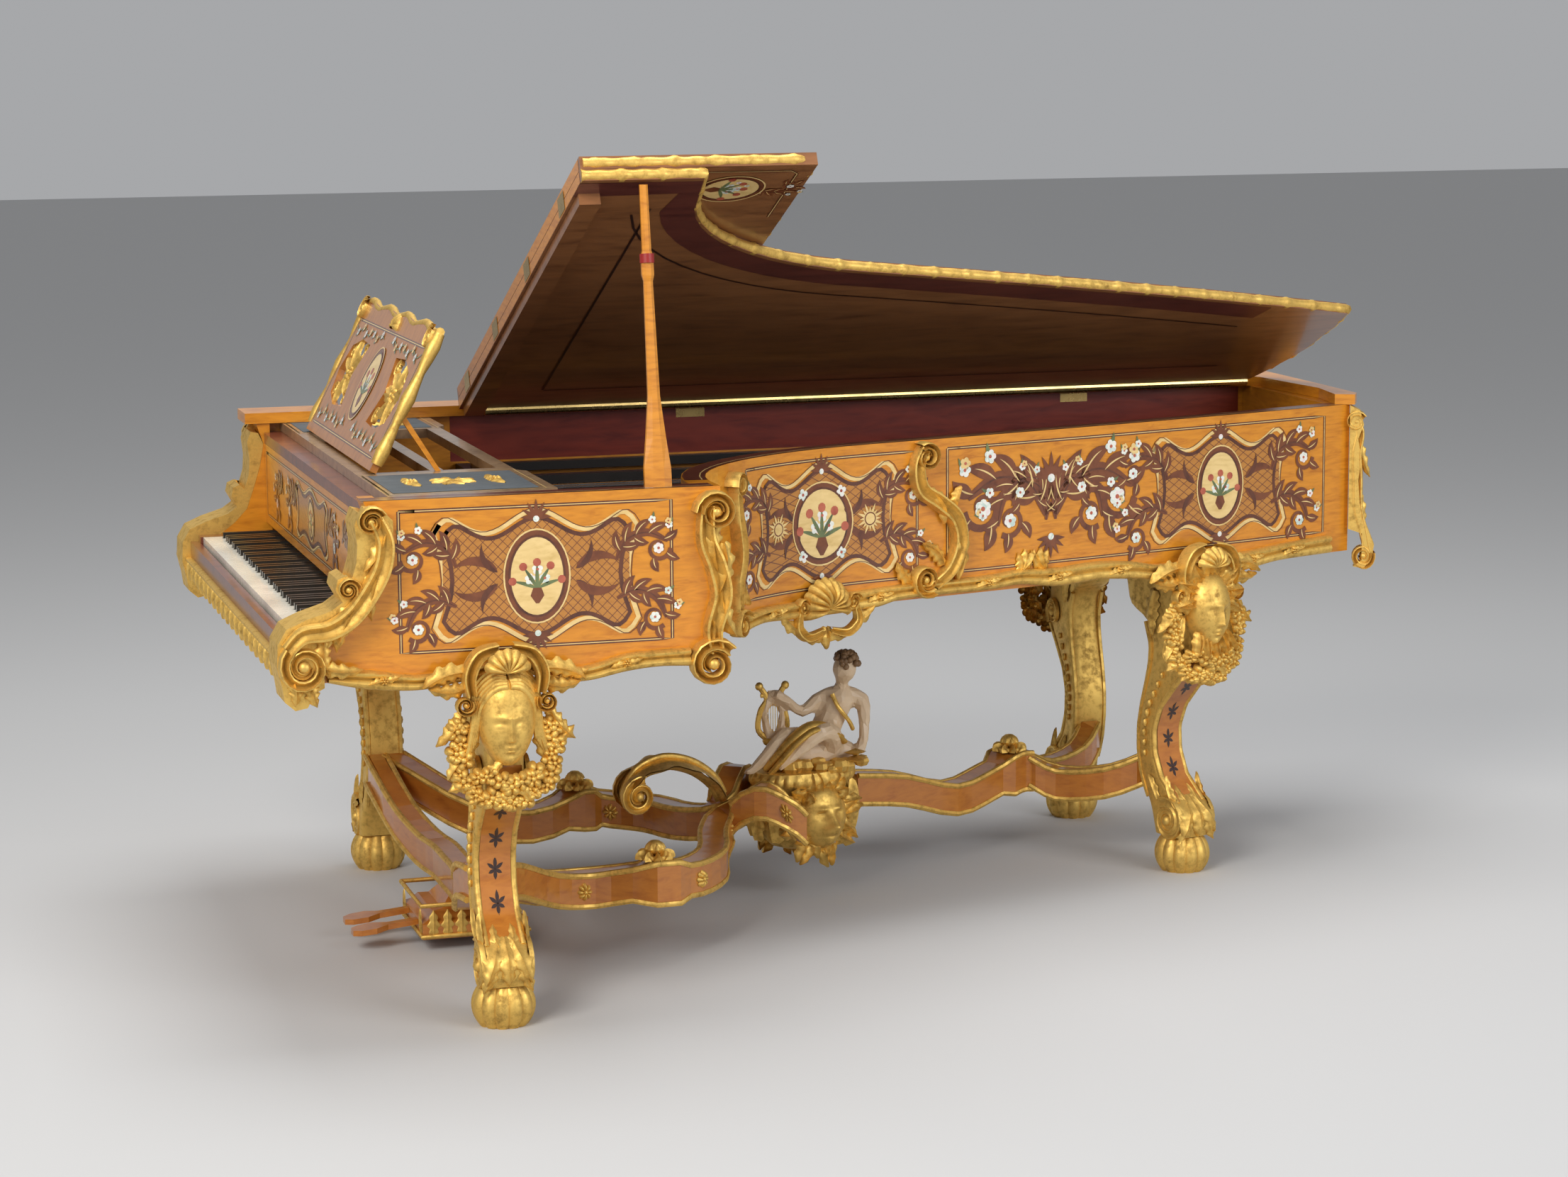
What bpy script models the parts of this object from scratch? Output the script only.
"""Ornate art-case grand piano with its lid propped open. Metres, +Z up, origin on the floor under the middle."""

import math

import bmesh
import bpy
from mathutils import Matrix, Vector

# Driving dimensions. Design axes: x = 0 middle of the case, y = 0 front end of the rim top, z = 0 floor.
GAP = 0.0003
CASE_WIDTH = 1.35
RIM_TOP = 0.973
RIM_BOTTOM = 0.655
RIM_WALL = 0.045
SIDE_LENGTH = 0.652
TAIL_Y = 2.295
CHEEK_INNER = 0.600
CHEEK_FRONT = -0.075
CHEEK_STEP_Y = 0.032

KEY_COUNT = 49
KEY_PITCH = 0.023
KEY_FRONT = -0.118
KEY_BACK = 0.200
KEY_TOP = 0.744
KEY_HEIGHT = 0.022
KEY_PIVOT_Y = 0.120
KEY_PIVOT_HALF = 0.004
KEY_SLIT = 0.001
SHARP_FRONT = -0.080
SHARP_TOP = 0.756
SHARP_WIDTH = 0.010
SHARP_NOTCH = 0.0145
SHARP_BRIDGE_Y = 0.105
KEYBED_THICKNESS = 0.034
KEYBED_BACK = 0.355
SLIP_FRONT = -0.140
SLIP_THICKNESS = 0.018
SLIP_TOP = 0.731
APRON_DEPTH = 0.015

LEDGE_TOP = 0.953
LEDGE_THICKNESS = 0.022
LEDGE_BACK = 0.068
FALLBOARD_THICKNESS = 0.026
FALLBOARD_FOOT = 0.765
FALLBOARD_Y = 0.020

LEG_TO_WALL = 0.040
LEG_SEAT = 0.0595
FRONT_LEG_Y = 0.245
REAR_LEG_LEFT_Y = 1.844
REAR_LEG_RIGHT_Y = 1.890

TRIM_PROUD = 0.018
TRIM_HEIGHT = 0.026
TRIM_Z = 0.655
SCROLL_THICKNESS = 0.026

LID_HINGE_X = -0.582
LID_HINGE_Z = 0.985
LID_ANGLE = 24.8
LID_THICKNESS = 0.022
LID_PIN_RADIUS = 0.0115
LID_EDGE = 1.272
LID_FRONT = 0.429
LID_OVERHANG = 0.015
FLAP_LENGTH = 0.445
FLAP_THICKNESS = 0.024
STRIP_EDGE_X = -0.700
STRIP_THICKNESS = 0.022

PROP_FOOT_X = 0.650
PROP_FOOT_Y = 0.516
PROP_FOOT_WIDTH = 0.054
PROP_LEAN = 0.080
DESK_LEFT = -0.430
DESK_RIGHT = 0.300
DESK_LENGTH = 0.285
DESK_TILT = 62.6
DESK_FOOT_Y = 0.082
DESK_THICKNESS = 0.014
FRAME_TOP = 0.972
FRAME_BACK = 0.370

BAR_WIDTH = 0.056
BAR_HEIGHT = 0.066
PLINTH_X = -0.137
PLINTH_Y = 1.050
PLINTH_TOP = 0.265
PLINTH_WIDTH = 0.156
PLINTH_LENGTH = 0.244
BLOCK_X = 0.333
BLOCK_Y = 0.611
CROSSING_U = 0.034
CROSSING_Y = 0.855
REAR_BLOCK_X = -0.360
REAR_SPLIT_Y = 1.630
PEDAL_BOX_FRONT = 0.200
PEDAL_BOX_BACK = 0.410
PEDAL_BOX_HALF = 0.105
PEDAL_X = 0.047
PEDAL_TIP_Y = 0.070

HALF = CASE_WIDTH / 2
INNER = HALF - RIM_WALL
KEYBED_TOP = RIM_BOTTOM + KEYBED_THICKNESS
KEY_SPAN = KEY_COUNT * KEY_PITCH

COLOURS = {
    "satinwood": ((0.62, 0.24, 0.035), 0.3, 0.0),
    "gilt": ((0.80, 0.52, 0.12), 0.35, 1.0),
    "mahogany": ((0.22, 0.05, 0.02), 0.35, 0.0),
    "ebonised": ((0.015, 0.012, 0.012), 0.4, 0.0),
    "ivory": ((0.80, 0.72, 0.55), 0.3, 0.0),
    "ebony": ((0.02, 0.015, 0.012), 0.35, 0.0),
    "iron": ((0.06, 0.045, 0.03), 0.5, 0.8),
    "steel": ((0.45, 0.45, 0.45), 0.3, 1.0),
    "spruce": ((0.45, 0.30, 0.14), 0.5, 0.0),
    "brass": ((0.80, 0.60, 0.20), 0.25, 1.0),
    "panel": ((0.50, 0.13, 0.03), 0.35, 0.0),
    "painted": ((0.62, 0.50, 0.36), 0.5, 0.0),
}


def clear_scene():
    for item in list(bpy.data.objects):
        bpy.data.objects.remove(item, do_unlink=True)


def material(name):
    made = bpy.data.materials.get(name)
    if made:
        return made
    colour, roughness, metallic = COLOURS[name]
    made = bpy.data.materials.new(name)
    made.use_nodes = True
    shader = made.node_tree.nodes["Principled BSDF"]
    shader.inputs["Base Color"].default_value = (*colour, 1.0)
    shader.inputs["Roughness"].default_value = roughness
    shader.inputs["Metallic"].default_value = metallic
    return made


def solid(name, points, faces, finish, pivot=(0.0, 0.0, 0.0), smooth=True):
    """One closed body in design coordinates, with its origin moved to pivot."""
    mesh = bpy.data.meshes.new(name)
    centre = Vector(pivot)
    mesh.from_pydata([Vector(p) - centre for p in points], [], faces)
    work = bmesh.new()
    work.from_mesh(mesh)
    bmesh.ops.recalc_face_normals(work, faces=work.faces[:])
    work.to_mesh(mesh)
    work.free()
    mesh.materials.append(material(finish))
    if smooth:
        mesh.shade_smooth()
        mesh.set_sharp_from_angle(angle=math.radians(35))
    item = bpy.data.objects.new(name, mesh)
    item.location = centre
    bpy.context.scene.collection.objects.link(item)
    return item


def plate(name, loops, place, low, high, finish, pivot=(0.0, 0.0, 0.0)):
    """A flat plate: the first loop is its outline, the rest are holes, and place turns (u, v, w) into a point."""
    work = bmesh.new()
    sizes = []
    for loop in loops:
        ring = [work.verts.new((u, v, 0.0)) for u, v in loop]
        for index, vert in enumerate(ring):
            work.edges.new((vert, ring[index - 1]))
        sizes.append(len(ring))
    work.verts.index_update()
    bmesh.ops.triangle_fill(work, use_beauty=True, use_dissolve=False, edges=work.edges[:])
    fill = [[vert.index for vert in face.verts] for face in work.faces]
    work.free()
    flat = [point for loop in loops for point in loop]
    count = len(flat)
    points = [place(u, v, low) for u, v in flat] + [place(u, v, high) for u, v in flat]
    faces = fill + [[index + count for index in reversed(face)] for face in fill]
    start = 0
    for size in sizes:
        for index in range(size):
            a = start + index
            b = start + (index + 1) % size
            faces.append([a, b, b + count, a + count])
        start += size
    return solid(name, points, faces, finish, pivot)


def loft(name, rings, finish, pivot=(0.0, 0.0, 0.0)):
    """Closed body through rings of as many points each, capped at both ends."""
    size = len(rings[0])
    points = [point for ring in rings for point in ring]
    faces = [list(range(size)), list(range(len(points) - size, len(points)))]
    for row in range(len(rings) - 1):
        for index in range(size):
            a = row * size + index
            b = row * size + (index + 1) % size
            faces.append([a, b, b + size, a + size])
    return solid(name, points, faces, finish, pivot)


def upright(u, v, w):
    return (u, v, w)


def across(u, v, w):
    """An outline in y and z, with its thickness along x."""
    return (w, u, v)


def rectangle(left, front, right, back):
    return [(left, front), (right, front), (right, back), (left, back)]


def bezier(p0, p1, p2, p3, steps):
    """Points of a cubic curve after its first one."""
    made = []
    for step in range(1, steps + 1):
        t = step / steps
        weights = ((1 - t) ** 3, 3 * t * (1 - t) ** 2, 3 * t * t * (1 - t), t**3)
        made.append(tuple(sum(w * p[i] for w, p in zip(weights, (p0, p1, p2, p3))) for i in range(len(p0))))
    return made


def smooth_path(points, steps):
    """A Catmull-Rom curve through points, with steps pieces between each two."""
    ends = [points[0], *points, points[-1]]
    made = [tuple(points[0])]
    for a, b, c, d in zip(ends, ends[1:], ends[2:], ends[3:]):
        for step in range(1, steps + 1):
            t = step / steps
            made.append(
                tuple(
                    0.5 * (2 * q + (r - p) * t + (2 * p - 5 * q + 4 * r - s) * t * t + (3 * q - p - 3 * r + s) * t**3)
                    for p, q, r, s in zip(a, b, c, d)
                )
            )
    return made


def offset(points, distance):
    """The open outline moved to the left of its direction, mitred at its corners."""
    moved = []
    for index, (x, y) in enumerate(points):
        before = Vector(points[max(index - 1, 0)])
        after = Vector(points[min(index + 1, len(points) - 1)])
        here = Vector((x, y))
        ways = [way.normalized() for way in (here - before, after - here) if way.length > 0]
        normals = [Vector((-way.y, way.x)) for way in ways]
        middle = sum(normals, Vector((0.0, 0.0))).normalized()
        moved.append(tuple(here + middle * (distance / middle.dot(normals[0]))))
    return moved


def bentside_curve():
    first = bezier((0.60, SIDE_LENGTH), (0.40, 0.665), (0.235, 0.86), (0.175, 1.10), 12)
    second = bezier((0.175, 1.10), (0.085, 1.46), (-0.03, 1.90), (-0.165, TAIL_Y), 12)
    return [(0.60, SIDE_LENGTH), *first, *second]


BENTSIDE = bentside_curve()
OUTER = [(HALF, 0.0), (HALF, SIDE_LENGTH), *BENTSIDE, (-HALF, TAIL_Y), (-HALF, 0.0)]


def along_wall(path, distance):
    """The point and outward direction at a distance along a path that has the case on its left."""
    left = distance
    for (ax, ay), (bx, by) in zip(path, path[1:]):
        step = math.hypot(bx - ax, by - ay)
        if left <= step or (bx, by) == path[-1]:
            way = Vector(((bx - ax) / step, (by - ay) / step))
            return Vector((ax, ay)) + way * left, Vector((way.y, -way.x))
        left -= step
    raise ValueError("the path has no length")


def wall_distance(y):
    """How far along the bentside curve its y is reached."""
    total = 0.0
    for (ax, ay), (bx, by) in zip(BENTSIDE, BENTSIDE[1:]):
        step = math.hypot(bx - ax, by - ay)
        if by >= y:
            return total + step * (y - ay) / (by - ay)
        total += step
    return total


def on_bentside(y):
    """Places (distance along the wall, height, distance off the wall) near a y of the bentside."""
    start = wall_distance(y)

    def place(u, v, w):
        point, outward = along_wall(BENTSIDE, max(start + u, 0.0))
        return (*(point + outward * w), v)

    return place


def spiral_ribbon(path, widths):
    """An outline along a path of (u, v) points with a half width at each, closed round both ends."""
    left = []
    right = []
    for index, (u, v) in enumerate(path):
        before = Vector(path[max(index - 1, 0)])
        after = Vector(path[min(index + 1, len(path) - 1)])
        way = (after - before).normalized()
        side = Vector((-way.y, way.x)) * widths[index]
        left.append((u + side.x, v + side.y))
        right.append((u - side.x, v - side.y))
    return left + right[::-1]


def disc(centre, radius, count=12):
    return [
        (centre[0] + radius * math.cos(math.tau * i / count), centre[1] + radius * math.sin(math.tau * i / count))
        for i in range(count)
    ]


def joined(target, tools):
    """Adds the tools' solids to the target with Boolean unions."""
    for tool in tools:
        tool.hide_render = True
        tool.display_type = "WIRE"
        link = target.modifiers.new("join", "BOOLEAN")
        link.operation = "UNION"
        link.solver = "EXACT"
        link.object = tool
    return target


def cut_by(target, tool):
    tool.hide_render = True
    tool.display_type = "WIRE"
    link = target.modifiers.new("cut", "BOOLEAN")
    link.operation = "DIFFERENCE"
    link.solver = "EXACT"
    link.object = tool
    return target


# Case and its inside.
CHEEK_PROFILE = [(0.0, 0.985), (0.018, 0.93), (0.010, 0.885), (-0.004, 0.84), (-0.020, 0.795), (-0.045, 0.768), (CHEEK_FRONT, 0.745)]


def case_rim():
    left_out = [(HALF, CHEEK_FRONT), *OUTER[1:-1], (-HALF, CHEEK_FRONT)]
    inner = offset(OUTER, RIM_WALL)[1:-1]
    inside = [(-CHEEK_INNER, CHEEK_FRONT), (-CHEEK_INNER, CHEEK_STEP_Y), (-INNER, CHEEK_STEP_Y)]
    inside += inner[::-1]
    inside += [(INNER, CHEEK_STEP_Y), (CHEEK_INNER, CHEEK_STEP_Y), (CHEEK_INNER, CHEEK_FRONT)]
    rim = plate("case_rim", [left_out + inside], upright, RIM_BOTTOM, RIM_TOP, "satinwood")
    above = [*CHEEK_PROFILE, (CHEEK_FRONT - 0.1, 0.745), (CHEEK_FRONT - 0.1, 1.1), (0.0, 1.1)]
    cutter = plate("cheek_cutter", [above], across, -HALF - 0.05, HALF + 0.05, "satinwood")
    return cut_by(rim, cutter)


def inner_outline(front, clearance):
    """The space inside the rim behind front, drawn in by clearance."""
    path = offset(OUTER, RIM_WALL + clearance)
    path[0] = (path[0][0], front)
    path[-1] = (path[-1][0], front)
    return path


def strip_hole(left, right, front, outline, margin):
    """A hole between two x values that runs back to the rim's curve."""

    def back(x):
        crossings = []
        for (ax, ay), (bx, by) in zip(outline, outline[1:]):
            if min(ax, bx) <= x <= max(ax, bx) and abs(ax - bx) > 1e-9:
                crossings.append(ay + (by - ay) * (x - ax) / (bx - ax))
        return min(crossings) - margin

    return [(left, front), (right, front), (right, back(right)), (left, back(left))]


def frame_beams():
    outline = inner_outline(KEYBED_BACK + GAP, GAP)
    spots = [(-0.59, -0.40), (-0.36, -0.17), (-0.13, 0.06), (0.10, 0.29), (0.33, 0.57)]
    holes = []
    for left, right in spots:
        if left < 0:
            holes.append(strip_hole(left, right, 0.43, outline, 0.09))
        else:
            holes.append(rectangle(left, 0.43, right, strip_hole(left, right, 0.43, outline, 0.09)[2][1]))
    return plate("frame_beams", [outline, *holes], upright, RIM_BOTTOM, RIM_BOTTOM + 0.07, "spruce")


def keybed():
    outline = [
        (-CHEEK_INNER + GAP, SLIP_FRONT + SLIP_THICKNESS + GAP),
        (CHEEK_INNER - GAP, SLIP_FRONT + SLIP_THICKNESS + GAP),
        (CHEEK_INNER - GAP, CHEEK_STEP_Y + GAP),
        (INNER - GAP, CHEEK_STEP_Y + GAP),
        (INNER - GAP, KEYBED_BACK),
        (-INNER + GAP, KEYBED_BACK),
        (-INNER + GAP, CHEEK_STEP_Y + GAP),
        (-CHEEK_INNER + GAP, CHEEK_STEP_Y + GAP),
    ]
    return plate("keybed", [outline], upright, RIM_BOTTOM, KEYBED_TOP, "mahogany")


def key_slip():
    block = KEY_SPAN / 2 + 0.003
    front = SLIP_FRONT
    back = SLIP_FRONT + SLIP_THICKNESS
    edge = CHEEK_INNER - GAP
    strip = plate("key_slip", [rectangle(-edge, front, edge, back)], upright, RIM_BOTTOM, SLIP_TOP, "mahogany")
    ends = []
    for side in (-1, 1):
        inner_x, outer_x = sorted((side * block, side * edge))
        spot = rectangle(inner_x, back - 0.001, outer_x, -0.001)
        ends.append(plate("key_block_tool", [spot], upright, KEYBED_TOP + GAP, KEY_TOP, "mahogany"))
    return joined(strip, ends)


def front_apron():
    edge = CHEEK_INNER - GAP
    count = 24
    lower = [(edge - 2 * edge * i / count, 0.648 + 0.008 * (i % 2)) for i in range(count + 1)]
    outline = [(-edge, 0.700), (edge, 0.700), *lower]

    def place(u, v, w):
        return (u, w, v)

    return plate("front_apron", [outline], place, SLIP_FRONT - GAP - APRON_DEPTH, SLIP_FRONT - GAP, "gilt")


def front_ledge():
    spot = rectangle(-INNER + GAP, CHEEK_STEP_Y + GAP, INNER - GAP, LEDGE_BACK)
    nose = rectangle(-CHEEK_INNER + GAP, 0.020, CHEEK_INNER - GAP, LEDGE_BACK - 0.01)
    bottom = LEDGE_TOP - LEDGE_THICKNESS
    board = plate("front_ledge", [spot], upright, bottom, LEDGE_TOP, "mahogany")
    lip = plate("ledge_nose_tool", [nose], upright, bottom, LEDGE_TOP, "mahogany")
    return joined(board, [lip])


def fallboard():
    top = LEDGE_TOP - LEDGE_THICKNESS - GAP
    edge = CHEEK_INNER - 0.001
    pivot = (0.0, FALLBOARD_Y, FALLBOARD_FOOT)
    spot = rectangle(-edge, FALLBOARD_Y, edge, FALLBOARD_Y + FALLBOARD_THICKNESS)
    return plate("fallboard", [spot], upright, FALLBOARD_FOOT, top, "satinwood", pivot)


def wrest_plank():
    spot = rectangle(-INNER + GAP, 0.215, INNER - GAP, 0.400)
    return plate("wrest_plank", [spot], upright, 0.800, 0.845, "mahogany")


def tuning_pins():
    count = 40
    reach = 0.52
    spot = rectangle(-reach, 0.262, reach, 0.290)
    base = plate("tuning_pins", [spot], upright, 0.8453, 0.849, "steel")
    pins = []
    for index in range(count):
        x = -reach + 0.012 + (2 * reach - 0.024) * index / (count - 1)
        y = 0.270 if index % 2 else 0.283
        half = 0.0032
        pins.append(rectangle(x - half, y - half, x + half, y + half))
    points = []
    faces = []
    for pin in pins:
        start = len(points)
        points += [(x, y, 0.847) for x, y in pin] + [(x, y, 0.872) for x, y in pin]
        faces += [[start + 3, start + 2, start + 1, start], [start + 4, start + 5, start + 6, start + 7]]
        for i in range(4):
            j = (i + 1) % 4
            faces.append([start + i, start + j, start + j + 4, start + i + 4])
    return joined(base, [solid("pin_tool", points, faces, "steel")])


def soundboard():
    outline = inner_outline(0.430, GAP)
    return plate("soundboard", [outline], upright, 0.800, 0.809, "spruce")


def bridge():
    path = smooth_path([(0.45, 0.56), (0.20, 0.70), (0.05, 1.05), (-0.07, 1.50), (-0.22, 1.92), (-0.36, 2.05)], 4)
    widths = [0.016] * len(path)
    return plate("bridge", [spiral_ribbon(path, widths)], upright, 0.809 + GAP, 0.836, "mahogany")


def iron_frame():
    outline = inner_outline(0.430, 0.004)
    spots = [(-0.60, -0.40), (-0.37, -0.16), (-0.13, 0.07), (0.10, 0.29), (0.33, 0.59)]
    holes = []
    for left, right in spots:
        if left < 0:
            holes.append(strip_hole(left, right, 0.47, outline, 0.10))
        else:
            holes.append(rectangle(left, 0.47, right, strip_hole(left, right, 0.47, outline, 0.05)[2][1]))
    return plate("iron_frame", [outline, *holes], upright, 0.850, 0.868, "iron")


def strings():
    """A comb of string groups from the tuning pins to the tail, over the bridge."""
    outline = inner_outline(0.430, 0.06)
    count = 32
    reach = 0.50
    width = 0.0014
    front = 0.30
    comb = [(-reach, front), (reach, front)]
    for index in range(count, 0, -1):
        x = -reach + 2 * reach * (index - 0.5) / count
        end = strip_hole(x, x + 1e-6, front, outline, 0.03)[3][1]
        comb += [(x + width, front + 0.006), (x + width, end), (x - width, end), (x - width, front + 0.006)]
    return plate("strings", [comb], upright, 0.8455, 0.8485, "steel")


# Action and keys.
def sharp_after(index):
    """Whether a sharp stands between this natural and the next, in octaves that end on C."""
    return index < KEY_COUNT - 1 and index % 7 in (0, 2, 3, 4, 6)


def key_edge(index):
    return -KEY_SPAN / 2 + index * KEY_PITCH


KEY_PIVOT = (0.0, KEY_PIVOT_Y, KEY_TOP - KEY_HEIGHT)


def action_rail():
    """The key frame with the balance rail that the keys tilt on and the row of hammers behind them."""
    half = KEY_SPAN / 2
    low = KEYBED_TOP + GAP
    rail_top = KEY_TOP - KEY_HEIGHT - GAP
    profile = [
        (-0.110, low),
        (0.330, low),
        (0.330, 0.790),
        (0.318, 0.795),
        (0.306, 0.790),
        (0.306, low + 0.010),
        (KEY_PIVOT_Y + KEY_PIVOT_HALF, low + 0.010),
        (KEY_PIVOT_Y + KEY_PIVOT_HALF, rail_top),
        (KEY_PIVOT_Y - KEY_PIVOT_HALF, rail_top),
        (KEY_PIVOT_Y - KEY_PIVOT_HALF, low + 0.010),
        (-0.110, low + 0.010),
    ]
    return plate("action_rail", [profile], across, -half + 0.004, half - 0.004, "mahogany")


def naturals():
    """The white keys as one comb, without the top C, which has no black key beside it."""
    notch_front = SHARP_FRONT - 0.002
    notch_end = KEY_PIVOT_Y - 0.002
    outline = [(key_edge(0) + GAP, KEY_BACK), (key_edge(0) + GAP, KEY_FRONT)]
    for index in range(KEY_COUNT - 2):
        x = key_edge(index + 1)
        left = x - KEY_SLIT / 2
        right = x + KEY_SLIT / 2
        if sharp_after(index):
            outline += [(left, KEY_FRONT), (left, notch_front)]
            outline += [(x - SHARP_NOTCH / 2, notch_front), (x - SHARP_NOTCH / 2, notch_end)]
            outline += [(x + SHARP_NOTCH / 2, notch_end), (x + SHARP_NOTCH / 2, notch_front)]
            outline += [(right, notch_front), (right, KEY_FRONT)]
        else:
            outline += [(left, KEY_FRONT), (left, notch_end), (right, notch_end), (right, KEY_FRONT)]
    last = key_edge(KEY_COUNT - 1) - KEY_SLIT / 2
    outline += [(last, KEY_FRONT), (last, KEY_BACK)]
    return plate("naturals", [outline], upright, KEY_TOP - KEY_HEIGHT, KEY_TOP, "ivory", KEY_PIVOT)


def top_c_key():
    left = key_edge(KEY_COUNT - 1) + KEY_SLIT / 2
    spot = rectangle(left, KEY_FRONT, key_edge(KEY_COUNT) - GAP, KEY_BACK)
    return plate("top_c_key", [spot], upright, KEY_TOP - KEY_HEIGHT, KEY_TOP, "ivory", KEY_PIVOT)


def sharp_box(index, back):
    x = key_edge(index + 1)
    return rectangle(x - SHARP_WIDTH / 2, SHARP_FRONT, x + SHARP_WIDTH / 2, back)


def sharps():
    """The black keys, joined behind the fallboard by a bridge over the white keys' tails."""
    bridge_low = KEY_TOP + GAP
    left = 0.01 - KEY_SPAN / 2
    right = key_edge(KEY_COUNT - 1) - 0.003
    spot = rectangle(left, SHARP_BRIDGE_Y, right, SHARP_BRIDGE_Y + 0.030)
    base = plate("sharps", [spot], upright, bridge_low, SHARP_TOP, "ebony", KEY_PIVOT)
    points = []
    faces = []
    low = KEY_TOP - KEY_HEIGHT + 0.004
    for index in range(KEY_COUNT):
        if not sharp_after(index):
            continue
        box = sharp_box(index, SHARP_BRIDGE_Y + 0.006)
        start = len(points)
        points += [(x, y, low) for x, y in box] + [(x, y, SHARP_TOP - 0.0004) for x, y in box]
        faces += [[start + 3, start + 2, start + 1, start], [start + 4, start + 5, start + 6, start + 7]]
        for i in range(4):
            j = (i + 1) % 4
            faces.append([start + i, start + j, start + j + 4, start + i + 4])
    return joined(base, [solid("sharp_tool", points, faces, "ebony", KEY_PIVOT)])


def damper_rail():
    spot = rectangle(-0.54, 0.4445, 0.50, 0.4600)
    return plate("damper_rail", [spot], upright, 0.8683, 0.8833, "ebonised")


# Gilt mouldings and scrolls.
def trim(name, path, drops):
    """A wavy moulding hung along the bottom of the wall; drops gives its height change at each path point."""
    rings = []
    for index, (x, y) in enumerate(path):
        before = Vector(path[max(index - 1, 0)])
        after = Vector(path[min(index + 1, len(path) - 1)])
        here = Vector((x, y))
        ways = [way.normalized() for way in (here - before, after - here) if way.length > 0]
        normals = [Vector((way.y, -way.x)) for way in ways]
        middle = sum(normals, Vector((0.0, 0.0))).normalized()
        stretch = 1 / middle.dot(normals[0])
        z = TRIM_Z + drops[index]
        section = [(GAP, -TRIM_HEIGHT / 2), (0.8, -TRIM_HEIGHT / 2), (1.0, 0.0), (0.7, TRIM_HEIGHT / 2), (GAP, TRIM_HEIGHT / 2)]
        ring = []
        for share, height in section:
            out = GAP if share == GAP else GAP + share * TRIM_PROUD
            spot = here + middle * (out * stretch)
            ring.append((spot.x, spot.y, z + height))
        rings.append(ring)
    return loft(name, rings, "gilt")


def wavy(count, phase, height, lift=0.012):
    return [lift + height * math.cos(phase + math.tau * index / count) for index in range(count + 1)]


def straight(start, end, count):
    return [tuple(a + (b - a) * i / count for a, b in zip(start, end)) for i in range(count + 1)]


def mouldings():
    front = trim("moulding_treble", straight((HALF, -0.060), (HALF, 0.585), 14), wavy(14, 0.0, 0.008, 0.003))
    start = wall_distance(0.80)
    end = wall_distance(2.235)
    count = 26
    path = []
    for index in range(count + 1):
        point, _ = along_wall(BENTSIDE, start + (end - start) * index / count)
        path.append(tuple(point))
    bent = trim("moulding_bentside", path, wavy(count, 0.6, 0.005, 0.016))
    turn = straight((-0.235, TAIL_Y), (-HALF, TAIL_Y), 6) + straight((-HALF, TAIL_Y), (-HALF, -0.060), 24)[1:]
    rear = trim("moulding_spine", turn, wavy(30, 0.0, 0.006, 0.008))
    return [front, bent, rear]


ARM_OUTER = [(0.000, 0.966), (0.030, 0.962), (0.052, 0.940), (0.052, 0.905), (0.040, 0.875), (0.036, 0.850)]
ARM_OUTER += [(0.020, 0.825), (0.004, 0.795), (-0.012, 0.765), (-0.034, 0.740), (-0.060, 0.728), (-0.072, 0.715)]
ARM_OUTER += [(-0.070, 0.690), (-0.080, 0.668), (-0.100, 0.655), (-0.096, 0.636), (-0.106, 0.616), (-0.128, 0.612)]
ARM_OUTER += [(-0.146, 0.628), (-0.150, 0.655), (-0.158, 0.690), (-0.156, 0.730), (-0.140, 0.757), (-0.105, 0.772)]
ARM_OUTER += [(-0.060, 0.782), (-0.040, 0.800), (-0.052, 0.822), (-0.048, 0.840), (-0.030, 0.846), (-0.022, 0.832)]
ARM_OUTER += [(-0.006, 0.868), (-0.008, 0.900), (-0.016, 0.935)]


def arm(name, side):
    """The scroll-shaped gilt arm in front of a cheek, with the part that laps over the cheek's outer face."""
    seat = GAP
    front_edge = [(y - seat, z) for y, z in CHEEK_PROFILE[1:]]
    front_edge += [(CHEEK_FRONT - seat, 0.700), (CHEEK_FRONT - seat, 0.650)]
    outer = [(-0.100, 0.636), (-0.106, 0.616), (-0.128, 0.612), (-0.146, 0.628), (-0.150, 0.655), (-0.158, 0.690)]
    outer += [(-0.156, 0.730), (-0.140, 0.757), (-0.105, 0.772), (-0.060, 0.786), (-0.040, 0.800), (-0.052, 0.822)]
    outer += [(-0.048, 0.840), (-0.034, 0.846), (-0.024, 0.836), (-0.014, 0.868), (-0.012, 0.900), (-0.016, 0.935)]
    outer += [(-0.008, 0.956), (0.008, 0.952)]
    low, high = sorted((side * (CHEEK_INNER + GAP), side * (HALF + 0.020)))
    body = plate(name, [front_edge + outer], across, low, high, "gilt")
    low, high = sorted((side * (HALF + GAP), side * (HALF + 0.020)))
    lap = plate("arm_lap_tool", [ARM_OUTER], across, low, high, "gilt")
    tools = [lap]
    for centre, radius in (((0.026, 0.927), 0.020), ((-0.116, 0.690), 0.032)):
        low, high = sorted((side * (HALF + 0.010), side * (HALF + 0.027)))
        tools.append(plate("arm_boss_tool", [disc(centre, radius, 12)], across, low, high, "gilt"))
    return joined(body, tools)


def wall_scroll(name, place, path, widths, bosses):
    """An S-shaped gilt scroll standing off a wall, thick as SCROLL_THICKNESS, with round bosses at its ends."""
    body = plate(name, [spiral_ribbon(path, widths)], place, GAP, SCROLL_THICKNESS, "gilt")
    tools = []
    for centre, radius in bosses:
        tools.append(plate("boss_tool", [disc(centre, radius, 12)], place, GAP, SCROLL_THICKNESS + 0.008, "gilt"))
    return joined(body, tools)


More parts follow.
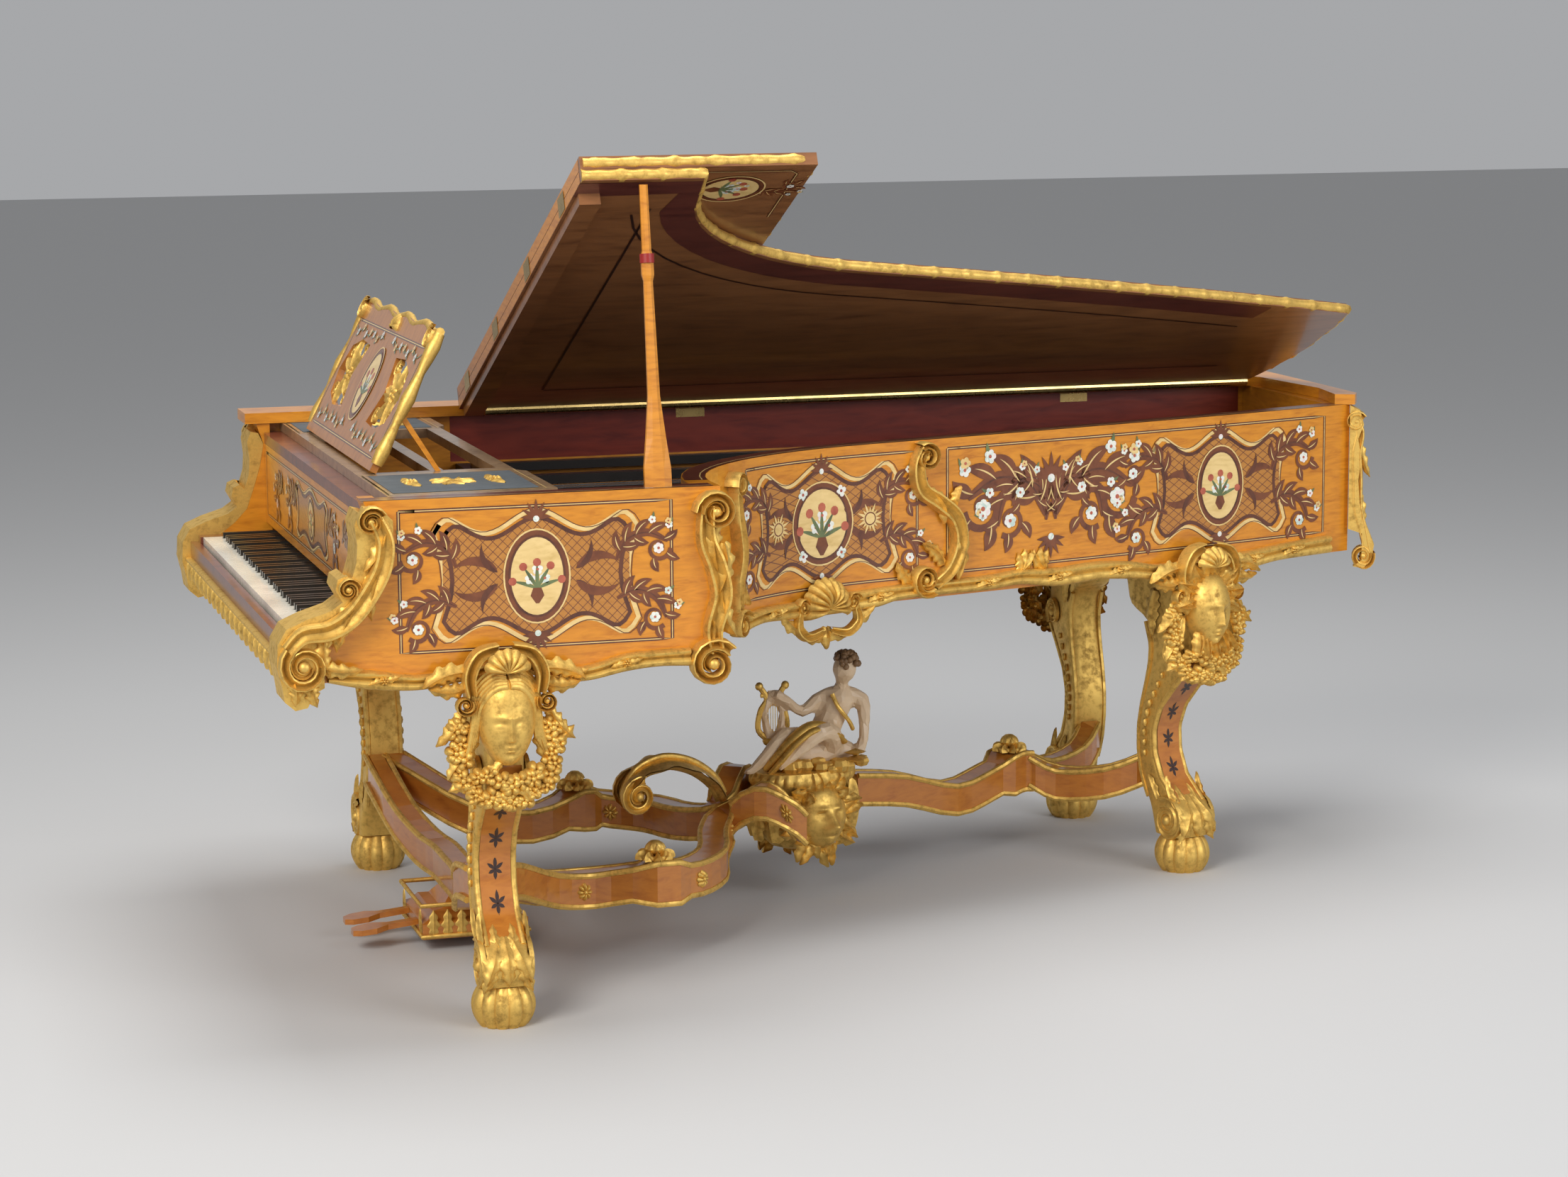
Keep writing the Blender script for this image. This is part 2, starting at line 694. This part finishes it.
def scrolls():
    def side_wall(u, v, w):
        return (HALF + w, u, v)

    path = smooth_path([(0.640, 0.955), (0.634, 0.89), (0.650, 0.83), (0.644, 0.76), (0.636, 0.70), (0.634, 0.655)], 3)
    widths = [0.020 + 0.007 * math.sin(math.pi * i / (len(path) - 1)) for i in range(len(path))]
    corner = wall_scroll("corner_scroll", side_wall, path, widths, [((0.640, 0.925), 0.030), ((0.634, 0.651), 0.038)])

    bent = on_bentside(0.755)
    path = smooth_path([(0.0, 0.955), (0.004, 0.88), (0.012, 0.80), (0.004, 0.72), (0.010, 0.665)], 3)
    widths = [0.016] * len(path)
    second = wall_scroll("bentside_scroll", bent, path, widths, [((0.0, 0.925), 0.022), ((0.012, 0.66), 0.022)])

    mid_wall = on_bentside(1.240)
    path = smooth_path([(-0.045, 0.945), (-0.040, 0.88), (-0.005, 0.845), (0.040, 0.80), (0.050, 0.74), (0.020, 0.69), (-0.02, 0.68)], 3)
    widths = [0.014 + 0.006 * math.sin(math.pi * i / (len(path) - 1)) for i in range(len(path))]
    mid = wall_scroll("mid_scroll", mid_wall, path, widths, [((-0.036, 0.935), 0.022), ((-0.02, 0.685), 0.028)])
    notch = rectangle(-0.12, 0.60, 0.12, 0.694)
    cut_by(mid, plate("mid_scroll_cutter", [notch], mid_wall, -0.01, TRIM_PROUD + 0.0016, "gilt"))
    return [corner, second, mid]


def tail_scrolls():
    """Scrolls that wrap the two tail corners: plates on the corner's diagonal."""
    made = []
    for name, corner, way in (
        ("tail_scroll", Vector((-0.165, TAIL_Y)), Vector((0.42, 0.91))),
        ("tail_scroll_left", Vector((-HALF, TAIL_Y)), Vector((-0.707, 0.707))),
    ):
        out = way.normalized()
        aside = Vector((-out.y, out.x))

        def place(u, v, w, corner=corner, out=out, aside=aside):
            spot = corner + out * (u + 0.001) + aside * w
            return (spot.x, spot.y, v)

        outline = [(0.0, 0.972), (0.022, 0.960), (0.030, 0.930), (0.018, 0.900), (0.026, 0.860), (0.020, 0.810)]
        outline += [(0.024, 0.760), (0.040, 0.710), (0.056, 0.670), (0.052, 0.640), (0.034, 0.618), (0.012, 0.622)]
        outline += [(0.030, 0.636), (0.030, 0.694), (0.0, 0.704)]
        made.append(plate(name, [outline], place, -0.016, 0.016, "gilt"))
    return made


def relief(name, outline, place, back, height, rings, finish):
    """A carved boss with a flat back: rings shrink towards its middle and rise by height(share from the rim)."""
    centre = [sum(point[i] for point in outline) / len(outline) for i in (0, 1)]
    layers = [[place(u, v, back) for u, v in outline]]
    for ring in range(rings + 1):
        share = ring / (rings + 0.6)
        layer = []
        for u, v in outline:
            spot = (u + (centre[0] - u) * share, v + (centre[1] - v) * share)
            layer.append(place(spot[0], spot[1], back + height(spot[0], spot[1], share)))
        layers.append(layer)
    return loft(name, layers, finish)


def shell_boss():
    place = on_bentside(0.985)
    outline = []
    count = 26
    for index in range(count):
        angle = math.tau * index / count + math.pi / 2
        flute = 1.0 + (0.05 if index % 2 else -0.03)
        reach = 0.060 if math.sin(angle) > -0.3 else 0.074
        outline.append((reach * flute * math.cos(angle), 0.670 + reach * 1.06 * flute * math.sin(angle)))

    def height(u, v, share):
        return 0.006 + 0.034 * math.sqrt(max(0.0, 1 - (1 - share) ** 2))

    return relief("shell_boss", outline, place, TRIM_PROUD + 0.0014, height, 4, "gilt")


# Legs with their masks.
LEG_PROFILE = [
    (0.0, 0.030, -0.030, 0.030),
    (0.012, 0.052, -0.052, 0.052),
    (0.036, 0.0565, -0.0565, 0.0565),
    (0.060, 0.052, -0.052, 0.052),
    (0.072, 0.042, -0.042, 0.042),
    (0.078, 0.044, -0.045, 0.050),
    (0.100, 0.050, -0.050, 0.058),
    (0.130, 0.046, -0.062, 0.056),
    (0.157, 0.020, -0.080, 0.040),
    (0.200, -0.030, -0.100, 0.039),
    (0.250, -0.052, -0.110, 0.039),
    (0.300, -0.055, -0.110, 0.039),
    (0.350, -0.035, -0.100, 0.039),
    (0.400, 0.010, -0.085, 0.039),
    (0.440, 0.055, -0.075, 0.039),
    (0.480, 0.0595, -0.072, 0.039),
    (0.530, 0.0595, -0.090, 0.039),
    (0.560, 0.0595, -0.146, 0.039),
    (0.600, 0.0595, -0.160, 0.039),
    (0.630, 0.0595, -0.168, 0.039),
    (0.632, 0.0380, -0.170, 0.039),
]


def leg_ring(front, back, half):
    """A rounded square of ten points between back and front, half wide to each side."""
    middle = (front + back) / 2
    reach = (front - back) / 2
    ring = []
    for index in range(12):
        angle = math.tau * (index + 0.5) / 12
        c = math.cos(angle)
        s = math.sin(angle)
        ring.append((middle + reach * math.copysign(abs(c) ** 0.45, c), half * math.copysign(abs(s) ** 0.45, s)))
    return ring


def leg_frame(x, y, angle):
    turn = Matrix.Rotation(math.radians(angle), 3, "Z")
    base = Vector((x, y, 0.0))

    def place(s, t, z):
        return tuple(base + turn @ Vector((s, t, 0.0)) + Vector((0.0, 0.0, z)))

    return place


def leg_places():
    wall, outward = along_wall(BENTSIDE, wall_distance(REAR_LEG_RIGHT_Y))
    rear = wall - outward * LEG_TO_WALL
    angle = math.degrees(math.atan2(outward.y, outward.x))
    return {
        "front_right": leg_frame(HALF - LEG_TO_WALL, FRONT_LEG_Y, 0.0),
        "front_left": leg_frame(-HALF + LEG_TO_WALL, FRONT_LEG_Y, 180.0),
        "rear_right": leg_frame(rear.x, rear.y, angle),
        "rear_left": leg_frame(-HALF + LEG_TO_WALL, REAR_LEG_LEFT_Y, 180.0),
    }


def leg(name, place):
    rings = []
    for z, front, back, half in [*LEG_PROFILE, (RIM_BOTTOM - GAP, 0.0380, -0.170, 0.039)]:
        rings.append([place(s, t, z) for s, t in leg_ring(front, back, half)])
    return loft(name, rings, "gilt")


MASK_ROWS = [
    (0.395, 0.020, 0.026),
    (0.415, 0.070, 0.034),
    (0.440, 0.105, 0.040),
    (0.465, 0.112, 0.046),
    (0.490, 0.108, 0.052),
    (0.520, 0.100, 0.060),
    (0.550, 0.084, 0.066),
    (0.580, 0.076, 0.068),
    (0.610, 0.074, 0.066),
    (0.640, 0.084, 0.062),
    (0.670, 0.092, 0.052),
    (0.695, 0.070, 0.046),
    (0.712, 0.034, 0.036),
]


def mask(name, place):
    """A carved head under a scrolled hood, with a garland below it: rows across the leg's seat."""
    columns = 8
    back = LEG_SEAT + 2 * GAP
    front_rows = []
    back_rows = []
    for z, half, depth in MASK_ROWS:
        row = []
        for index in range(columns + 1):
            t = -half + 2 * half * index / columns
            face = math.exp(-((t / 0.045) ** 2) - (((z - 0.570) / 0.085) ** 2))
            rim = math.sin(math.pi * (index + 1) / (columns + 2)) ** 0.5
            row.append(place(back + 0.006 + depth * 0.62 * rim + 0.018 * face, t, z))
        front_rows.append(row)
        back_rows.append([place(back, -half, z), place(back, half, z)])
    rings = []
    for row, ends in zip(front_rows, back_rows):
        rings.append([ends[0], *row, ends[1]])
    return loft(name, rings, "gilt")


# The stand between the legs.
def centre_line(y):
    share = (y - 0.62) / (PLINTH_Y - 0.62)
    return PLINTH_X * max(share, 0.0)


def bar(name, path, sizes, finish="panel", first=None, last=None):
    """A moulded bar along a path; each section stands upright and square to the path in plan."""
    rings = []
    for index, point in enumerate(path):
        before = Vector(path[max(index - 1, 0)])
        after = Vector(path[min(index + 1, len(path) - 1)])
        way = after - before
        flat = Vector((way.x, way.y, 0.0)).normalized()
        if index == 0 and first:
            flat = Vector((*first, 0.0))
        if index == len(path) - 1 and last:
            flat = Vector((*last, 0.0))
        side = Vector((flat.y, -flat.x, 0.0))
        width, height = sizes[index]
        here = Vector(point)
        ring = []
        for a, b in ((-1, -0.8), (-0.8, -1), (0.8, -1), (1, -0.8), (1, 0.8), (0.8, 1), (-0.8, 1), (-1, 0.8)):
            ring.append(tuple(here + side * (a * width / 2) + Vector((0.0, 0.0, b * height / 2))))
        rings.append(ring)
    return loft(name, rings, finish)


LEG_BACK = 0.110 + 2 * GAP


def stretcher_side(name, side):
    start = HALF - LEG_TO_WALL - LEG_BACK
    stops = [
        (start, FRONT_LEG_Y + 0.0185, 0.236),
        (0.440, 0.305, 0.215),
        (0.330, 0.400, 0.165),
        (0.285, 0.500, 0.150),
        (BLOCK_X, BLOCK_Y, 0.168),
        (0.315, 0.690, 0.158),
        (0.235, 0.765, 0.155),
        (0.110, 0.805, 0.160),
        (CROSSING_U, CROSSING_Y, 0.178),
        (0.095, 0.915, 0.232),
        (0.130, 0.965, 0.212),
        (0.140, 1.000, 0.175),
    ]
    path = [(centre_line(y) + side * u, y, z) for u, y, z in smooth_path(stops, 3)]
    sizes = []
    for x, y, z in path:
        near = math.hypot(abs(x) - BLOCK_X, y - BLOCK_Y) < 0.030
        sizes.append((0.080, 0.086) if near else (BAR_WIDTH, BAR_HEIGHT))
    sizes[0] = (0.040, BAR_HEIGHT)
    sizes[1] = (0.044, BAR_HEIGHT)
    return bar(name, path, sizes, first=(-side, 0.0))


def stretcher_front():
    start = HALF - LEG_TO_WALL - LEG_BACK
    y = FRONT_LEG_Y - 0.0195
    half = [(start, y, 0.236), (0.430, y, 0.222), (0.310, 0.245, 0.170), (0.200, 0.270, 0.138), (0.100, 0.285, 0.134)]
    stops = half + [(0.0, 0.285, 0.135)] + [(-x, y, z) for x, y, z in half[::-1]]
    path = smooth_path(stops, 2)
    sizes = [(0.048, BAR_HEIGHT)] * len(path)
    for index in (0, 1, 2):
        sizes[index] = sizes[-1 - index] = (0.036, BAR_HEIGHT)
    return bar("stretcher_front", path, sizes, first=(-1.0, 0.0), last=(-1.0, 0.0))


def stretcher_rear(places):
    """The single bar behind the plinth, its block, and the two bars that part to the rear legs."""
    way = Vector((PLINTH_X, PLINTH_Y - 0.62)).normalized()
    start = Vector((PLINTH_X, PLINTH_Y)) + way * (PLINTH_LENGTH / 2 + GAP)
    stops = [(start.x, start.y, 0.205), (-0.220, 1.290, 0.185), (-0.270, 1.420, 0.145), (-0.325, 1.520, 0.160)]
    stops += [(REAR_BLOCK_X, 1.590, 0.178), (REAR_BLOCK_X - 0.008, REAR_SPLIT_Y, 0.178)]
    path = smooth_path(stops, 3)
    sizes = [(BAR_WIDTH, BAR_HEIGHT) if y < 1.56 else (0.084, 0.086) for x, y, z in path]
    made = [bar("stretcher_centre", path, sizes, first=tuple(way), last=(0.0, 1.0))]
    for name, side, inner_stops in (
        ("rear_right", 1, [(-0.318, 1.690, 0.150), (-0.235, 1.770, 0.165)]),
        ("rear_left", -1, [(-0.425, 1.700, 0.150), (-0.470, 1.790, 0.165)]),
    ):
        end = Vector(places[name](-LEG_BACK, 0.0, 0.205))
        facing = Vector(places[name](1.0, 0.0, 0.0)) - Vector(places[name](0.0, 0.0, 0.0))
        begin = (REAR_BLOCK_X - 0.008 + side * 0.021, REAR_SPLIT_Y + GAP, 0.178)
        path = smooth_path([begin, *inner_stops, tuple(end)], 3)
        sizes = [(0.040, BAR_HEIGHT)] + [(0.046, BAR_HEIGHT)] * (len(path) - 1)
        made.append(bar("stretcher_" + name, path, sizes, first=(0.0, 1.0), last=(facing.x, facing.y)))
    return made


def acanthus_scroll():
    """The curled leaf that rises from where the two side bars meet and rolls over towards the keyboard."""
    path = smooth_path([(0.862, 0.2225), (0.840, 0.262), (0.790, 0.300), (0.725, 0.318), (0.665, 0.302), (0.637, 0.264), (0.650, 0.236), (0.674, 0.246)], 2)
    rings = []
    for index, (y, z) in enumerate(path):
        before = Vector(path[max(index - 1, 0)])
        after = Vector(path[min(index + 1, len(path) - 1)])
        way = (after - before).normalized()
        if index == 0:
            way = Vector((0.0, 1.0))
        normal = Vector((-way.y, way.x))
        share = index / (len(path) - 1)
        half = 0.026 + 0.034 * math.sin(math.pi * min(share * 1.3, 1.0))
        thick = 0.011
        ring = []
        for a, b in ((-1.0, 0.0), (-0.6, 0.8), (0.0, 1.0), (0.6, 0.8), (1.0, 0.0), (0.5, -0.9), (-0.5, -0.9)):
            ring.append((centre_line(y) + a * half, y + normal.x * b * thick, z + normal.y * b * thick))
        rings.append(ring)
    return loft("acanthus_scroll", rings, "gilt")


def plinth():
    rings = []
    turn = Matrix.Rotation(math.atan2(-PLINTH_X, PLINTH_Y - 0.62), 3, "Z")
    for z, share in ((0.105, 0.55), (0.125, 0.80), (0.165, 0.92), (0.215, 0.86), (0.240, 0.90), (0.246, 1.0), (PLINTH_TOP, 1.0)):
        ring = []
        for index in range(20):
            angle = math.tau * index / 20
            spot = turn @ Vector((PLINTH_WIDTH / 2 * share * math.cos(angle), PLINTH_LENGTH / 2 * share * math.sin(angle), 0.0))
            ring.append((PLINTH_X + spot.x, PLINTH_Y + spot.y, z))
        rings.append(ring)
    return loft("plinth", rings, "gilt")


# Lid, prop and music desk.
LID_TURN = math.radians(LID_ANGLE)


def lid_place(p, y, w):
    """p runs from the hinge along the lid, w off its underside."""
    c = math.cos(LID_TURN)
    s = math.sin(LID_TURN)
    return (LID_HINGE_X + p * c - w * s, y, LID_HINGE_Z + p * s + w * c)


LID_PIVOT = (LID_HINGE_X, 0.0, LID_HINGE_Z)


def lid_outline():
    start = LID_PIN_RADIUS + GAP
    edge = [(LID_EDGE, LID_FRONT), (LID_EDGE, SIDE_LENGTH + 0.005)]
    curve = offset(BENTSIDE, -LID_OVERHANG)
    for x, y in curve[1:]:
        edge.append((x - LID_HINGE_X, y))
    tail = smooth_path([(0.347, 2.305), (0.288, 2.300), (0.227, 2.298), (0.166, 2.288), (0.105, 2.272), (0.044, 2.252)], 2)
    return [(start, LID_FRONT), *edge, *tail, (start, 2.240)]


def lid():
    return plate("lid", [lid_outline()], lid_place, 0.0, LID_THICKNESS, "satinwood", LID_PIVOT)


def lid_flap():
    start = LID_PIN_RADIUS + GAP
    spot = rectangle(start, LID_FRONT + GAP, LID_EDGE, LID_FRONT + FLAP_LENGTH)
    low = LID_THICKNESS + 2 * GAP
    pivot = lid_place(0.0, LID_FRONT, LID_THICKNESS + GAP)
    return plate("lid_flap", [spot], lid_place, low, low + FLAP_THICKNESS, "satinwood", pivot)


def lid_batten():
    spot = rectangle(0.030, LID_FRONT + 0.006, LID_EDGE - 0.060, LID_FRONT + 0.046)
    return plate("lid_batten", [spot], lid_place, -0.022, -GAP, "satinwood", LID_PIVOT)


def lid_hinge():
    outline = disc((0.0, 0.0), LID_PIN_RADIUS, 12)

    def place(u, v, w):
        return (LID_HINGE_X + u, w, LID_HINGE_Z + v)

    return plate("lid_hinge", [outline], place, 0.486, 2.237, "brass")


def fixed_lid_strip():
    inner_x = LID_HINGE_X - LID_PIN_RADIUS - GAP
    outline = [(STRIP_EDGE_X, -0.020), (inner_x, -0.020), (inner_x, 2.243), (-0.560, 2.262), (-0.300, 2.285)]
    outline += [(-0.170, 2.262), (-0.150, 2.300), (-0.180, 2.318), (-0.400, 2.325), (-0.680, 2.330), (STRIP_EDGE_X, 2.300)]
    low = RIM_TOP + GAP
    return plate("fixed_lid_strip", [outline], upright, low, low + STRIP_THICKNESS, "satinwood")


def prop_stick():
    rings = []
    top = lid_place((PROP_FOOT_X - PROP_LEAN - LID_HINGE_X) / math.cos(LID_TURN), 0.0, 0.0)[2]
    height = top - RIM_TOP - 0.008
    for share, wide, deep in (
        (0.0, 0.027, 0.011),
        (0.06, 0.027, 0.011),
        (0.16, 0.020, 0.010),
        (0.30, 0.012, 0.009),
        (0.68, 0.009, 0.008),
        (0.70, 0.012, 0.010),
        (0.76, 0.012, 0.010),
        (0.78, 0.009, 0.008),
        (1.0, 0.008, 0.007),
    ):
        x = PROP_FOOT_X - PROP_LEAN * share
        z = RIM_TOP + GAP + height * share
        y = PROP_FOOT_Y + PROP_FOOT_WIDTH / 2
        ring = []
        for index in range(8):
            angle = math.tau * (index + 0.5) / 8
            ring.append((x + deep * math.cos(angle), y + wide * math.sin(angle), z))
        rings.append(ring)
    return loft("prop_stick", rings, "satinwood", (PROP_FOOT_X, PROP_FOOT_Y, RIM_TOP + GAP))


def desk_frame():
    low = LEDGE_TOP + GAP
    edge = INNER - 0.001
    outline = [(-edge, 0.058), (edge, 0.058), (edge, 0.300), (edge - 0.03, FRAME_BACK), (0.34, FRAME_BACK)]
    outline += [(0.32, 0.355), (-0.42, 0.355), (-0.44, FRAME_BACK), (-edge + 0.03, FRAME_BACK), (-edge, 0.300)]
    right = DESK_RIGHT - 0.020
    holes = [rectangle(-0.395, 0.085, right, 0.200), rectangle(-0.395, 0.225, right, 0.325)]
    return plate("desk_frame", [outline, *holes], upright, low, FRAME_TOP, "mahogany")


def desk_place(u, v, w):
    """u across, v up the panel, w off its front face."""
    c = math.cos(math.radians(DESK_TILT))
    s = math.sin(math.radians(DESK_TILT))
    return (u, DESK_FOOT_Y + v * c + w * s, FRAME_TOP + GAP + DESK_THICKNESS * c + v * s - w * c)


DESK_PIVOT = desk_place(0.0, 0.0, DESK_THICKNESS)


def desk_panel():
    middle = (DESK_LEFT + DESK_RIGHT) / 2
    half = (DESK_RIGHT - DESK_LEFT) / 2
    outline = [(DESK_LEFT, 0.0), (DESK_RIGHT, 0.0), (DESK_RIGHT, DESK_LENGTH)]
    for index in range(1, 8):
        outline.append((DESK_RIGHT - 2 * half * index / 8, DESK_LENGTH + (0.008 if index % 2 else 0.0)))
    outline.append((DESK_LEFT, DESK_LENGTH))
    holes = []
    for side in (-1, 1):
        hole = [(0.14, 0.075), (0.23, 0.07), (0.30, 0.09), (0.325, 0.14), (0.30, 0.195), (0.23, 0.215), (0.14, 0.21), (0.18, 0.14)]
        points = [(middle + side * u, v) for u, v in hole]
        holes.append(points if side > 0 else points[::-1])
    return plate("desk_panel", [outline, *holes], desk_place, 0.0, DESK_THICKNESS, "satinwood", DESK_PIVOT)


def desk_strut():
    """The stay behind the desk, from halfway up the panel down to the frame's side rail."""
    left = DESK_RIGHT - 0.016
    right = DESK_RIGHT - 0.006
    foot = [(left, 0.2075), (right, 0.2075), (right, 0.2175), (left, 0.2175)]
    low = [(x, y, FRAME_TOP + GAP) for x, y in foot]
    back = DESK_THICKNESS + GAP
    high = [desk_place(x, v, back) for x, v in ((left, 0.110), (right, 0.110), (right, 0.122), (left, 0.122))]
    return loft("desk_strut", [low, high], "mahogany", STRUT_PIVOT)


STRUT_PIVOT = desk_place(0.0, 0.122, DESK_THICKNESS + GAP)


def limb(stops):
    """Points and faces of a rounded tube through (x, y, z, radius) stops."""
    path = smooth_path(stops, 2)
    rings = []
    for index, (x, y, z, radius) in enumerate(path):
        before = Vector(path[max(index - 1, 0)][:3])
        after = Vector(path[min(index + 1, len(path) - 1)][:3])
        way = (after - before).normalized()
        aside = way.cross(Vector((1.0, 0.0, 0.0)))
        if aside.length < 0.1:
            aside = way.cross(Vector((0.0, 1.0, 0.0)))
        aside.normalize()
        other = way.cross(aside)
        here = Vector((x, y, z))
        turns = [math.tau * i / 8 for i in range(8)]
        rings.append([tuple(here + (aside * math.cos(t) + other * math.sin(t)) * radius) for t in turns])
    points = [point for ring in rings for point in ring]
    faces = [list(range(8)), list(range(len(points) - 8, len(points)))]
    for row in range(len(rings) - 1):
        for index in range(8):
            a = row * 8 + index
            b = row * 8 + (index + 1) % 8
            faces.append([a, b, b + 8, a + 8])
    return points, faces


FIGURE = [
    [(-0.150, 1.095, 0.300, 0.030), (-0.150, 1.100, 0.330, 0.034), (-0.152, 1.120, 0.370, 0.032), (-0.152, 1.133, 0.405, 0.036), (-0.150, 1.135, 0.425, 0.022)],
    [(-0.148, 1.138, 0.415, 0.014), (-0.144, 1.140, 0.440, 0.013), (-0.140, 1.142, 0.455, 0.024), (-0.138, 1.144, 0.475, 0.026), (-0.138, 1.144, 0.498, 0.012)],
    [(-0.150, 1.150, 0.412, 0.017), (-0.145, 1.182, 0.398, 0.018), (-0.138, 1.186, 0.360, 0.013), (-0.125, 1.180, 0.320, 0.011), (-0.115, 1.166, 0.292, 0.012)],
    [(-0.152, 1.115, 0.412, 0.017), (-0.152, 1.086, 0.400, 0.016), (-0.145, 1.052, 0.380, 0.012), (-0.140, 1.020, 0.405, 0.011), (-0.138, 0.992, 0.424, 0.012)],
    [(-0.150, 1.090, 0.305, 0.028), (-0.135, 1.050, 0.322, 0.024), (-0.120, 1.010, 0.338, 0.019), (-0.112, 0.968, 0.300, 0.015), (-0.108, 0.938, 0.275, 0.010), (-0.106, 0.918, 0.264, 0.008)],
    [(-0.140, 1.110, 0.300, 0.028), (-0.110, 1.105, 0.335, 0.024), (-0.090, 1.075, 0.345, 0.019), (-0.088, 1.035, 0.315, 0.014), (-0.088, 1.000, 0.288, 0.010), (-0.086, 0.982, 0.278, 0.009)],
    [(-0.150, 0.990, 0.425, 0.010), (-0.150, 0.972, 0.380, 0.008), (-0.150, 0.985, 0.320, 0.010)],
    [(-0.150, 0.990, 0.425, 0.010), (-0.150, 1.012, 0.380, 0.008), (-0.150, 1.000, 0.320, 0.010)],
    [(-0.145, 1.020, 0.290, 0.030), (-0.140, 1.060, 0.290, 0.034), (-0.145, 1.120, 0.290, 0.036), (-0.140, 1.160, 0.285, 0.024)],
]


def statue():
    """A resting musician with a lyre: its limbs are fused, thinned and set flat on the plinth."""
    points = []
    faces = []
    for stops in FIGURE:
        more, sides = limb(stops)
        faces += [[index + len(points) for index in side] for side in sides]
        points += more
    body = solid("statue", points, faces, "painted")
    fuse = body.modifiers.new("fuse", "REMESH")
    fuse.mode = "VOXEL"
    fuse.voxel_size = 0.0065
    thin = body.modifiers.new("thin", "DECIMATE")
    thin.ratio = 0.20
    under = plate("statue_cutter", [rectangle(-0.30, 0.88, 0.05, 1.30)], upright, 0.20, PLINTH_TOP + GAP, "painted")
    return cut_by(body, under)


def pedal(name, x):
    root = PEDAL_BOX_FRONT - GAP
    spade = [(x - 0.008, root), (x - 0.010, 0.140), (x - 0.026, 0.115), (x - 0.024, 0.085), (x - 0.012, PEDAL_TIP_Y)]
    spade += [(x + 0.012, PEDAL_TIP_Y), (x + 0.024, 0.085), (x + 0.026, 0.115), (x + 0.010, 0.140), (x + 0.008, root)]

    def place(u, v, w):
        return (u, v, 0.032 + w + 0.10 * (v - PEDAL_TIP_Y))

    return plate(name, [spade], place, 0.0, 0.011, "mahogany", (x, root, 0.045))


def pedal_box():
    rings = []
    y = (PEDAL_BOX_FRONT + PEDAL_BOX_BACK) / 2
    deep = (PEDAL_BOX_BACK - PEDAL_BOX_FRONT) / 2
    for z, a, b in ((0.025, PEDAL_BOX_HALF, deep), (0.056, PEDAL_BOX_HALF, deep), (0.062, 0.092, 0.092), (0.076, 0.080, 0.080)):
        rings.append([(-a, y - b, z), (a, y - b, z), (a, y + b, z), (-a, y + b, z)])
    for z, a, b in ((0.078, 0.070, 0.060), (0.1005, 0.050, 0.040)):
        rings.append([(-a, y - b, z), (a, y - b, z), (a, y + b, z), (-a, y + b, z)])
    return loft("pedal_box", rings, "panel")


def settle_origin():
    """Every piece hangs on one empty, moved so that the middle of the whole piano stands over the origin."""
    bpy.context.view_layer.update()
    pieces = [item for item in bpy.context.scene.objects if item.type == "MESH"]
    shown = [item for item in pieces if not item.hide_render]
    graph = bpy.context.evaluated_depsgraph_get()
    spots = []
    for item in shown:
        evaluated = item.evaluated_get(graph)
        for vertex in evaluated.data.vertices:
            spots.append(item.matrix_world @ vertex.co)
    middle_x = (min(p.x for p in spots) + max(p.x for p in spots)) / 2
    middle_y = (min(p.y for p in spots) + max(p.y for p in spots)) / 2
    floor = min(p.z for p in spots)
    root = bpy.data.objects.new("piano_origin", None)
    bpy.context.scene.collection.objects.link(root)
    for item in pieces:
        item.parent = root
    root.location = (-middle_x, -middle_y, -floor)
    print("origin shift", [round(value, 6) for value in root.location])


def main():
    clear_scene()
    case_rim()
    frame_beams()
    keybed()
    key_slip()
    front_apron()
    front_ledge()
    fallboard()
    wrest_plank()
    tuning_pins()
    soundboard()
    bridge()
    iron_frame()
    strings()
    action_rail()
    naturals()
    top_c_key()
    sharps()
    damper_rail()
    mouldings()
    arm("treble_arm", 1)
    arm("bass_arm", -1)
    scrolls()
    tail_scrolls()
    shell_boss()
    for name, place in leg_places().items():
        leg("leg_" + name, place)
        mask("mask_" + name, place)
    stretcher_side("stretcher_right", 1)
    stretcher_side("stretcher_left", -1)
    stretcher_front()
    stretcher_rear(leg_places())
    acanthus_scroll()
    plinth()
    statue()
    lid()
    lid_flap()
    lid_batten()
    lid_hinge()
    fixed_lid_strip()
    prop_stick()
    desk_frame()
    desk_panel()
    desk_strut()
    pedal_box()
    pedal("pedal_left", -PEDAL_X)
    pedal("pedal_right", PEDAL_X)
    settle_origin()


if __name__ == "__main__":
    main()
